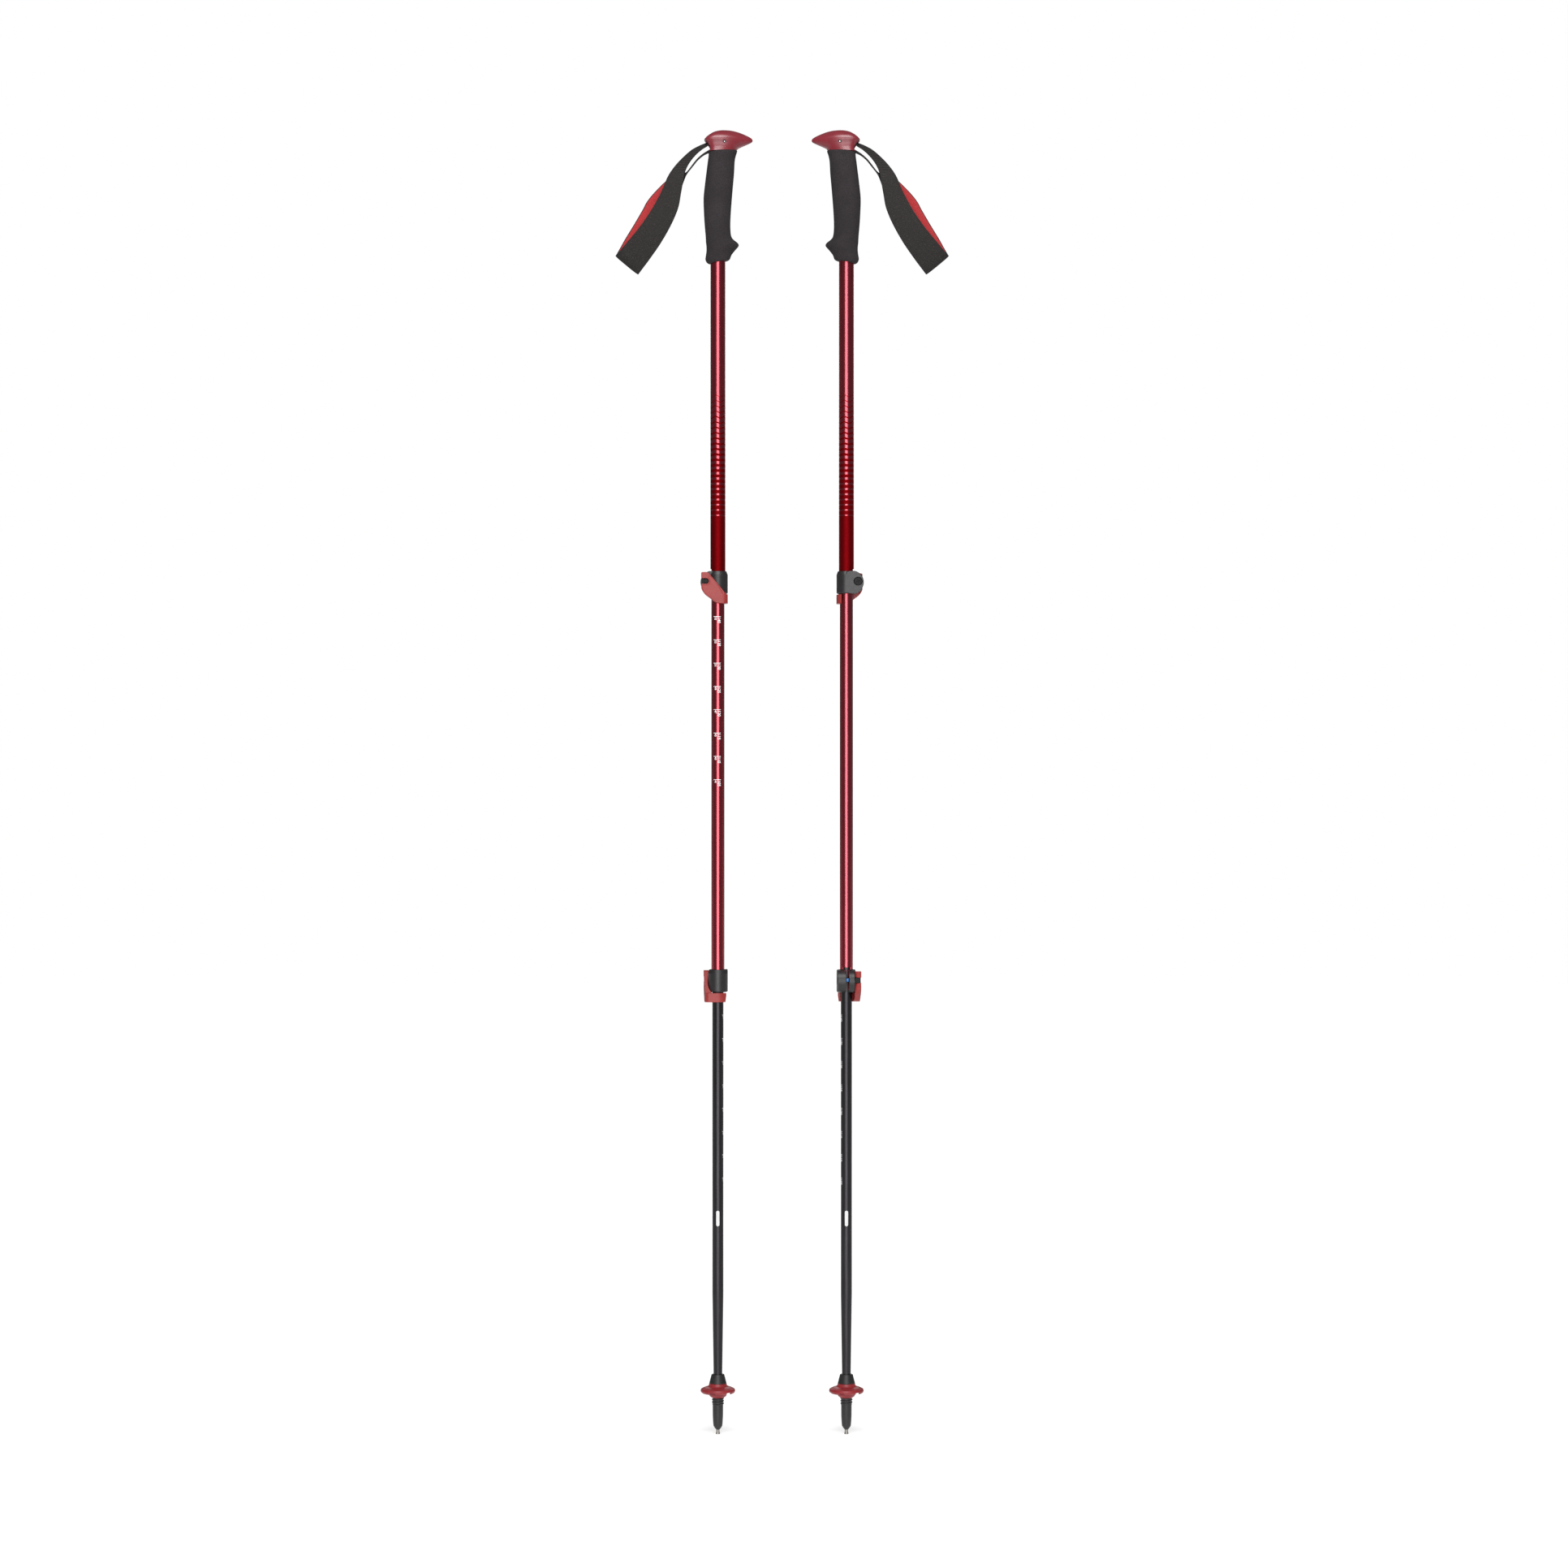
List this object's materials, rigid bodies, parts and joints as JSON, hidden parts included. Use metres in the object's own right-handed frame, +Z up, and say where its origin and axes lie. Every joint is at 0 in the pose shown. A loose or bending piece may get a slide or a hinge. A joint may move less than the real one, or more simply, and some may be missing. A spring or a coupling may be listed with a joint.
{
  "type": "trekking poles",
  "caption": "Pair of three-section telescopic trekking poles with foam grips, beaked heads, looped wrist straps, lever locks, trekking baskets and carbide tips.",
  "frame": {"origin": "on the ground, midway between the two tips of the upright poles", "axes": "+Z up along the poles, +X from the left pole to the right one, -Y towards the viewer; each pole's beak points at the other pole"},
  "size_m": [0.3568, 0.0384, 1.4],
  "materials": {
    "head_red": "satin moulded",
    "pin_steel": "bright",
    "inner_plastic": "plain moulded",
    "webbing_black": "woven webbing",
    "lining_red": "woven lining",
    "foam_black": "matte closed-cell foam",
    "anodised_red": "gloss anodised",
    "collar_grey": "satin moulded",
    "lever_red": "satin moulded",
    "screw_dark": "black plated",
    "shaft_black": "satin anodised",
    "tip_black": "satin moulded",
    "basket_red": "satin moulded",
    "carbide": "sintered carbide"
  },
  "bodies": {
    "left_handle": {"left_grip_head": "head_red", "left_strap_pin": "pin_steel", "left_strap_anchor": "webbing_black", "left_foam_grip": "foam_black", "left_upper_shaft": "anodised_red", "left_upper_collar": "collar_grey", "left_upper_clamp_screw": "screw_dark", "left_upper_barrel_nut": "screw_dark"},
    "left_cam": {"left_strap_cam": "inner_plastic"},
    "left_strap": {"left_strap_webbing": "webbing_black", "left_strap_lining": "lining_red"},
    "left_upper_lever": {"left_upper_lever": "lever_red"},
    "left_middle": {"left_middle_shaft": "anodised_red", "left_middle_bush": "inner_plastic", "left_lower_collar": "collar_grey", "left_lower_clamp_screw": "screw_dark", "left_lower_barrel_nut": "screw_dark"},
    "left_lower_lever": {"left_lower_lever": "lever_red"},
    "left_lower": {"left_lower_shaft": "shaft_black", "left_lower_bush": "inner_plastic", "left_flex_tip": "tip_black", "left_carbide_tip": "carbide"},
    "left_basket": {"left_basket": "basket_red"},
    "right_handle": {"right_grip_head": "head_red", "right_strap_pin": "pin_steel", "right_strap_anchor": "webbing_black", "right_foam_grip": "foam_black", "right_upper_shaft": "anodised_red", "right_upper_collar": "collar_grey", "right_upper_clamp_screw": "screw_dark", "right_upper_barrel_nut": "screw_dark"},
    "right_cam": {"right_strap_cam": "inner_plastic"},
    "right_strap": {"right_strap_webbing": "webbing_black", "right_strap_lining": "lining_red"},
    "right_upper_lever": {"right_upper_lever": "lever_red"},
    "right_middle": {"right_middle_shaft": "anodised_red", "right_middle_bush": "inner_plastic", "right_lower_collar": "collar_grey", "right_lower_clamp_screw": "screw_dark", "right_lower_barrel_nut": "screw_dark"},
    "right_lower_lever": {"right_lower_lever": "lever_red"},
    "right_lower": {"right_lower_shaft": "shaft_black", "right_lower_bush": "inner_plastic", "right_flex_tip": "tip_black", "right_carbide_tip": "carbide"},
    "right_basket": {"right_basket": "basket_red"}
  },
  "joints": [
    {"name": "left_strap_swing", "type": "hinge", "parent": "left_handle", "child": "left_strap", "pos_m": [-0.0855, 0, 1.382], "axis": [0, 1, 0], "range_deg": [-8, 95]},
    {"name": "left_strap_cam_turn", "type": "hinge", "parent": "left_handle", "child": "left_cam", "pos_m": [-0.0618, 0, 1.3862], "axis": [0, 1, 0], "range_deg": [0, 30]},
    {"name": "left_upper_lever_open", "type": "hinge", "parent": "left_handle", "child": "left_upper_lever", "pos_m": [-0.0814, -0.0122, 0.9143], "axis": [0, 0, -1], "range_deg": [0, 68]},
    {"name": "left_middle_slide", "type": "slide", "parent": "left_handle", "child": "left_middle", "axis": [0, 0, 1], "range_m": [0, 0.36]},
    {"name": "left_lower_lever_open", "type": "hinge", "parent": "left_middle", "child": "left_lower_lever", "pos_m": [-0.08203, 0.01152, 0.4869], "axis": [0, 0, -1], "range_deg": [0, 68]},
    {"name": "left_lower_slide", "type": "slide", "parent": "left_middle", "child": "left_lower", "axis": [0, 0, 1], "range_m": [0, 0.37]},
    {"name": "left_basket_turn", "type": "hinge", "parent": "left_lower", "child": "left_basket", "pos_m": [-0.069, 0, 0.047], "axis": [0, 0, -1], "range_deg": [0, 360]},
    {"name": "poles_apart", "type": "slide", "parent": "left_handle", "child": "right_handle", "axis": [1, 0, 0], "range_m": [0, 0.3]},
    {"name": "right_strap_swing", "type": "hinge", "parent": "right_handle", "child": "right_strap", "pos_m": [0.0855, 0, 1.382], "axis": [0, -1, 0], "range_deg": [-8, 95]},
    {"name": "right_strap_cam_turn", "type": "hinge", "parent": "right_handle", "child": "right_cam", "pos_m": [0.0618, 0, 1.3862], "axis": [0, -1, 0], "range_deg": [0, 30]},
    {"name": "right_upper_lever_open", "type": "hinge", "parent": "right_handle", "child": "right_upper_lever", "pos_m": [0.0814, 0.0122, 0.9143], "axis": [0, 0, -1], "range_deg": [0, 68]},
    {"name": "right_middle_slide", "type": "slide", "parent": "right_handle", "child": "right_middle", "axis": [0, 0, 1], "range_m": [0, 0.36]},
    {"name": "right_lower_lever_open", "type": "hinge", "parent": "right_middle", "child": "right_lower_lever", "pos_m": [0.08203, -0.01152, 0.4869], "axis": [0, 0, -1], "range_deg": [0, 68]},
    {"name": "right_lower_slide", "type": "slide", "parent": "right_middle", "child": "right_lower", "axis": [0, 0, 1], "range_m": [0, 0.37]},
    {"name": "right_basket_turn", "type": "hinge", "parent": "right_lower", "child": "right_basket", "pos_m": [0.069, 0, 0.047], "axis": [0, 0, -1], "range_deg": [0, 360]}
  ]
}
